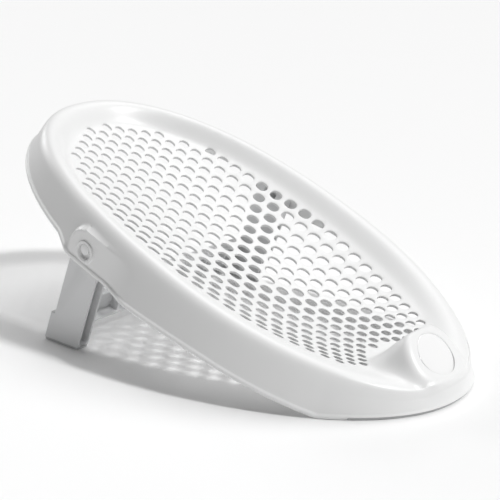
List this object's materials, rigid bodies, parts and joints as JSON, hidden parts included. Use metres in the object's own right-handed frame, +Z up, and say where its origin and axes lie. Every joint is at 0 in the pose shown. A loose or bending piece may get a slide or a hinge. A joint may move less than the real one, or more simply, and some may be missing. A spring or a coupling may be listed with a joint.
{
  "type": "baby bath support",
  "caption": "Reclined perforated bath seat for a baby, with a rolled rim, a hump between the legs and a fold-out rear leg.",
  "frame": {"origin": "on the floor, at the middle of the footprint's length and width", "axes": "+Z up, +Y toward the head end, -X is the left side as the baby lies"},
  "size_m": [0.306, 0.5083, 0.2012],
  "materials": {
    "shell": "satin white moulding with a fine grain",
    "badge": "glossy white, left blank",
    "leg": "satin light grey moulding",
    "soft_grip": "matt grey soft grip"
  },
  "bodies": {
    "shell": {"seat_shell": "shell", "seat_panel": "shell", "foot_hump": "shell", "badge_disc": "badge", "front_grip": "soft_grip", "hinge_cheek_left": "shell", "hinge_cheek_right": "shell"},
    "leg": {"support_leg": "leg", "pivot_pin_left": "leg", "pivot_pin_right": "leg", "leg_pad_left": "soft_grip", "leg_pad_right": "soft_grip"}
  },
  "joints": [
    {"name": "leg_fold", "type": "hinge", "parent": "shell", "child": "leg", "pos_m": [0, 0.06929, 0.10708], "axis": [-1, 0, 0], "range_deg": [0, 90]}
  ]
}
